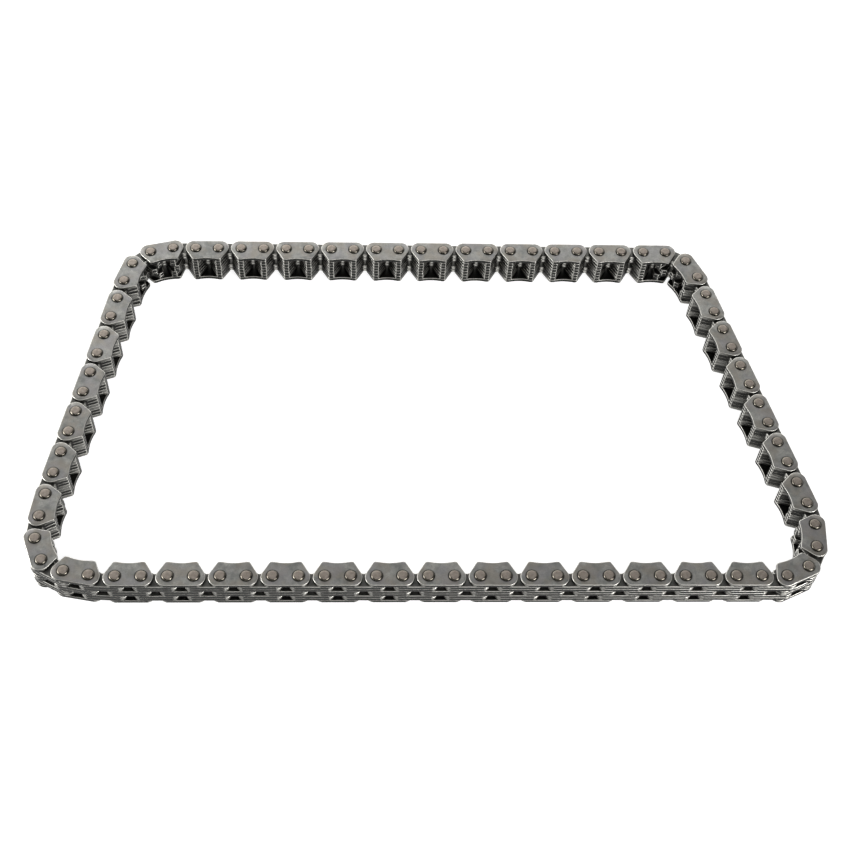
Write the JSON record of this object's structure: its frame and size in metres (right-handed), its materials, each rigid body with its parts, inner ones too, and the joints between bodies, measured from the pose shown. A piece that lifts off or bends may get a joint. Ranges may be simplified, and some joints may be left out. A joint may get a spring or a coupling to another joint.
{
  "type": "inverted tooth chain",
  "caption": "Endless inverted-tooth drive chain for an engine oil pump: punched steel plates on riveted pins, lying on its side as a rounded four-sided loop.",
  "frame": {"origin": "centre of the loop's bounding box, on the plane of the pins' lower ends", "axes": "+X along the long straight runs, +Y from the front run to the back run, +Z along the pins, up from the surface that the chain lies on"},
  "size_m": [0.2006, 0.1094, 0.0101],
  "materials": {
    "guide_steel": "tumbled, satin",
    "toothed_steel": "punched, satin, oiled",
    "pin_steel": "ground and riveted, warm tint"
  },
  "bodies": {
    "left_bend": {"left_bend_guide_links": "guide_steel", "left_bend_inner_links": "toothed_steel", "left_bend_pins": "pin_steel"},
    "right_bend": {"right_bend_guide_links": "guide_steel", "right_bend_inner_links": "toothed_steel", "right_bend_pins": "pin_steel"},
    "front_inner_1": {"front_inner_link_1": "toothed_steel"},
    "front_guide_1": {"front_guide_link_1": "guide_steel", "front_pins_1": "pin_steel"},
    "front_inner_2": {"front_inner_link_2": "toothed_steel"},
    "front_guide_2": {"front_guide_link_2": "guide_steel", "front_pins_2": "pin_steel"},
    "front_inner_3": {"front_inner_link_3": "toothed_steel"},
    "front_guide_3": {"front_guide_link_3": "guide_steel", "front_pins_3": "pin_steel"},
    "front_inner_4": {"front_inner_link_4": "toothed_steel"},
    "front_guide_4": {"front_guide_link_4": "guide_steel", "front_pins_4": "pin_steel"},
    "front_inner_5": {"front_inner_link_5": "toothed_steel"},
    "front_guide_5": {"front_guide_link_5": "guide_steel", "front_pins_5": "pin_steel"},
    "front_inner_6": {"front_inner_link_6": "toothed_steel"},
    "front_guide_6": {"front_guide_link_6": "guide_steel", "front_pins_6": "pin_steel"},
    "front_inner_7": {"front_inner_link_7": "toothed_steel"},
    "front_guide_7": {"front_guide_link_7": "guide_steel", "front_pins_7": "pin_steel"},
    "front_inner_8": {"front_inner_link_8": "toothed_steel"},
    "front_guide_8": {"front_guide_link_8": "guide_steel", "front_pins_8": "pin_steel"},
    "front_inner_9": {"front_inner_link_9": "toothed_steel"},
    "back_inner_1": {"back_inner_link_1": "toothed_steel"},
    "back_guide_1": {"back_guide_link_1": "guide_steel", "back_pins_1": "pin_steel"},
    "back_inner_2": {"back_inner_link_2": "toothed_steel"},
    "back_guide_2": {"back_guide_link_2": "guide_steel", "back_pins_2": "pin_steel"},
    "back_inner_3": {"back_inner_link_3": "toothed_steel"},
    "back_guide_3": {"back_guide_link_3": "guide_steel", "back_pins_3": "pin_steel"},
    "back_inner_4": {"back_inner_link_4": "toothed_steel"},
    "back_guide_4": {"back_guide_link_4": "guide_steel", "back_pins_4": "pin_steel"},
    "back_inner_5": {"back_inner_link_5": "toothed_steel"},
    "back_guide_5": {"back_guide_link_5": "guide_steel", "back_pins_5": "pin_steel"},
    "back_inner_6": {"back_inner_link_6": "toothed_steel"},
    "back_guide_6": {"back_guide_link_6": "guide_steel", "back_pins_6": "pin_steel"},
    "back_inner_7": {"back_inner_link_7": "toothed_steel"},
    "back_guide_7": {"back_guide_link_7": "guide_steel", "back_pins_7": "pin_steel"},
    "back_inner_8": {"back_inner_link_8": "toothed_steel"},
    "back_guide_8": {"back_guide_link_8": "guide_steel", "back_pins_8": "pin_steel"},
    "back_inner_9": {"back_inner_link_9": "toothed_steel"}
  },
  "joints": [
    {"name": "front_run_swing", "type": "hinge", "parent": "left_bend", "child": "front_inner_1", "pos_m": [-0.04524, -0.05179, 0.00504], "axis": [0, 0, 1], "range_deg": [-25, 25]},
    {"name": "back_run_swing", "type": "hinge", "parent": "left_bend", "child": "back_inner_1", "pos_m": [-0.05771, 0.05176, 0.00504], "axis": [0, 0, 1], "range_deg": [-25, 25]},
    {"name": "front_flex_1", "type": "hinge", "parent": "front_inner_1", "child": "front_guide_1", "pos_m": [-0.03889, -0.05179, 0.00504], "axis": [0, 0, 1], "range_deg": [-30, 30]},
    {"name": "front_unflex_1", "type": "hinge", "parent": "front_guide_1", "child": "front_inner_2", "pos_m": [-0.03254, -0.05179, 0.00504], "axis": [0, 0, 1], "range_deg": [-30, 30]},
    {"name": "back_flex_1", "type": "hinge", "parent": "back_inner_1", "child": "back_guide_1", "pos_m": [-0.05136, 0.05176, 0.00504], "axis": [0, 0, 1], "range_deg": [-30, 30]},
    {"name": "back_unflex_1", "type": "hinge", "parent": "back_guide_1", "child": "back_inner_2", "pos_m": [-0.04501, 0.05176, 0.00504], "axis": [0, 0, 1], "range_deg": [-30, 30]},
    {"name": "front_flex_2", "type": "hinge", "parent": "front_inner_2", "child": "front_guide_2", "pos_m": [-0.02619, -0.05179, 0.00504], "axis": [0, 0, 1], "range_deg": [-30, 30]},
    {"name": "front_unflex_2", "type": "hinge", "parent": "front_guide_2", "child": "front_inner_3", "pos_m": [-0.01984, -0.05179, 0.00504], "axis": [0, 0, 1], "range_deg": [-30, 30]},
    {"name": "back_flex_2", "type": "hinge", "parent": "back_inner_2", "child": "back_guide_2", "pos_m": [-0.03866, 0.05176, 0.00504], "axis": [0, 0, 1], "range_deg": [-30, 30]},
    {"name": "back_unflex_2", "type": "hinge", "parent": "back_guide_2", "child": "back_inner_3", "pos_m": [-0.03231, 0.05176, 0.00504], "axis": [0, 0, 1], "range_deg": [-30, 30]},
    {"name": "front_flex_3", "type": "hinge", "parent": "front_inner_3", "child": "front_guide_3", "pos_m": [-0.01349, -0.05179, 0.00504], "axis": [0, 0, 1], "range_deg": [-30, 30]},
    {"name": "front_unflex_3", "type": "hinge", "parent": "front_guide_3", "child": "front_inner_4", "pos_m": [-0.00714, -0.05179, 0.00504], "axis": [0, 0, 1], "range_deg": [-30, 30]},
    {"name": "back_flex_3", "type": "hinge", "parent": "back_inner_3", "child": "back_guide_3", "pos_m": [-0.02596, 0.05176, 0.00504], "axis": [0, 0, 1], "range_deg": [-30, 30]},
    {"name": "back_unflex_3", "type": "hinge", "parent": "back_guide_3", "child": "back_inner_4", "pos_m": [-0.01961, 0.05176, 0.00504], "axis": [0, 0, 1], "range_deg": [-30, 30]},
    {"name": "front_flex_4", "type": "hinge", "parent": "front_inner_4", "child": "front_guide_4", "pos_m": [-0.00079, -0.05179, 0.00504], "axis": [0, 0, 1], "range_deg": [-30, 30]},
    {"name": "front_unflex_4", "type": "hinge", "parent": "front_guide_4", "child": "front_inner_5", "pos_m": [0.00556, -0.05179, 0.00504], "axis": [0, 0, 1], "range_deg": [-30, 30]},
    {"name": "back_flex_4", "type": "hinge", "parent": "back_inner_4", "child": "back_guide_4", "pos_m": [-0.01326, 0.05176, 0.00504], "axis": [0, 0, 1], "range_deg": [-30, 30]},
    {"name": "back_unflex_4", "type": "hinge", "parent": "back_guide_4", "child": "back_inner_5", "pos_m": [-0.00691, 0.05176, 0.00504], "axis": [0, 0, 1], "range_deg": [-30, 30]},
    {"name": "front_flex_5", "type": "hinge", "parent": "front_inner_5", "child": "front_guide_5", "pos_m": [0.01191, -0.05179, 0.00504], "axis": [0, 0, 1], "range_deg": [-30, 30]},
    {"name": "front_unflex_5", "type": "hinge", "parent": "front_guide_5", "child": "front_inner_6", "pos_m": [0.01826, -0.05179, 0.00504], "axis": [0, 0, 1], "range_deg": [-30, 30]},
    {"name": "back_flex_5", "type": "hinge", "parent": "back_inner_5", "child": "back_guide_5", "pos_m": [-0.00056, 0.05176, 0.00504], "axis": [0, 0, 1], "range_deg": [-30, 30]},
    {"name": "back_unflex_5", "type": "hinge", "parent": "back_guide_5", "child": "back_inner_6", "pos_m": [0.00579, 0.05176, 0.00504], "axis": [0, 0, 1], "range_deg": [-30, 30]},
    {"name": "front_flex_6", "type": "hinge", "parent": "front_inner_6", "child": "front_guide_6", "pos_m": [0.02461, -0.05179, 0.00504], "axis": [0, 0, 1], "range_deg": [-30, 30]},
    {"name": "front_unflex_6", "type": "hinge", "parent": "front_guide_6", "child": "front_inner_7", "pos_m": [0.03096, -0.05179, 0.00504], "axis": [0, 0, 1], "range_deg": [-30, 30]},
    {"name": "back_flex_6", "type": "hinge", "parent": "back_inner_6", "child": "back_guide_6", "pos_m": [0.01214, 0.05176, 0.00504], "axis": [0, 0, 1], "range_deg": [-30, 30]},
    {"name": "back_unflex_6", "type": "hinge", "parent": "back_guide_6", "child": "back_inner_7", "pos_m": [0.01849, 0.05176, 0.00504], "axis": [0, 0, 1], "range_deg": [-30, 30]},
    {"name": "front_flex_7", "type": "hinge", "parent": "front_inner_7", "child": "front_guide_7", "pos_m": [0.03731, -0.05179, 0.00504], "axis": [0, 0, 1], "range_deg": [-30, 30]},
    {"name": "front_unflex_7", "type": "hinge", "parent": "front_guide_7", "child": "front_inner_8", "pos_m": [0.04366, -0.05179, 0.00504], "axis": [0, 0, 1], "range_deg": [-30, 30]},
    {"name": "back_flex_7", "type": "hinge", "parent": "back_inner_7", "child": "back_guide_7", "pos_m": [0.02484, 0.05176, 0.00504], "axis": [0, 0, 1], "range_deg": [-30, 30]},
    {"name": "back_unflex_7", "type": "hinge", "parent": "back_guide_7", "child": "back_inner_8", "pos_m": [0.03119, 0.05176, 0.00504], "axis": [0, 0, 1], "range_deg": [-30, 30]},
    {"name": "front_flex_8", "type": "hinge", "parent": "front_inner_8", "child": "front_guide_8", "pos_m": [0.05001, -0.05179, 0.00504], "axis": [0, 0, 1], "range_deg": [-30, 30]},
    {"name": "front_unflex_8", "type": "hinge", "parent": "front_guide_8", "child": "front_inner_9", "pos_m": [0.05636, -0.05179, 0.00504], "axis": [0, 0, 1], "range_deg": [-30, 30]},
    {"name": "back_flex_8", "type": "hinge", "parent": "back_inner_8", "child": "back_guide_8", "pos_m": [0.03754, 0.05176, 0.00504], "axis": [0, 0, 1], "range_deg": [-30, 30]},
    {"name": "back_unflex_8", "type": "hinge", "parent": "back_guide_8", "child": "back_inner_9", "pos_m": [0.04389, 0.05176, 0.00504], "axis": [0, 0, 1], "range_deg": [-30, 30]},
    {"name": "right_bend_swing", "type": "hinge", "parent": "front_inner_9", "child": "right_bend", "pos_m": [0.06271, -0.05179, 0.00504], "axis": [0, 0, 1], "range_deg": [-25, 25]}
  ],
  "couplings": [
    {"joint": "front_unflex_1", "follows": "front_flex_1", "ratio": -1},
    {"joint": "back_flex_1", "follows": "front_flex_1", "ratio": 1},
    {"joint": "back_unflex_1", "follows": "front_flex_1", "ratio": -1},
    {"joint": "front_unflex_2", "follows": "front_flex_2", "ratio": -1},
    {"joint": "back_flex_2", "follows": "front_flex_2", "ratio": 1},
    {"joint": "back_unflex_2", "follows": "front_flex_2", "ratio": -1},
    {"joint": "front_unflex_3", "follows": "front_flex_3", "ratio": -1},
    {"joint": "back_flex_3", "follows": "front_flex_3", "ratio": 1},
    {"joint": "back_unflex_3", "follows": "front_flex_3", "ratio": -1},
    {"joint": "front_unflex_4", "follows": "front_flex_4", "ratio": -1},
    {"joint": "back_flex_4", "follows": "front_flex_4", "ratio": 1},
    {"joint": "back_unflex_4", "follows": "front_flex_4", "ratio": -1},
    {"joint": "front_unflex_5", "follows": "front_flex_5", "ratio": -1},
    {"joint": "back_flex_5", "follows": "front_flex_5", "ratio": 1},
    {"joint": "back_unflex_5", "follows": "front_flex_5", "ratio": -1},
    {"joint": "front_unflex_6", "follows": "front_flex_6", "ratio": -1},
    {"joint": "back_flex_6", "follows": "front_flex_6", "ratio": 1},
    {"joint": "back_unflex_6", "follows": "front_flex_6", "ratio": -1},
    {"joint": "front_unflex_7", "follows": "front_flex_7", "ratio": -1},
    {"joint": "back_flex_7", "follows": "front_flex_7", "ratio": 1},
    {"joint": "back_unflex_7", "follows": "front_flex_7", "ratio": -1},
    {"joint": "front_unflex_8", "follows": "front_flex_8", "ratio": -1},
    {"joint": "back_flex_8", "follows": "front_flex_8", "ratio": 1},
    {"joint": "back_unflex_8", "follows": "front_flex_8", "ratio": -1},
    {"joint": "back_run_swing", "follows": "front_run_swing", "ratio": 1},
    {"joint": "right_bend_swing", "follows": "front_run_swing", "ratio": -1}
  ]
}
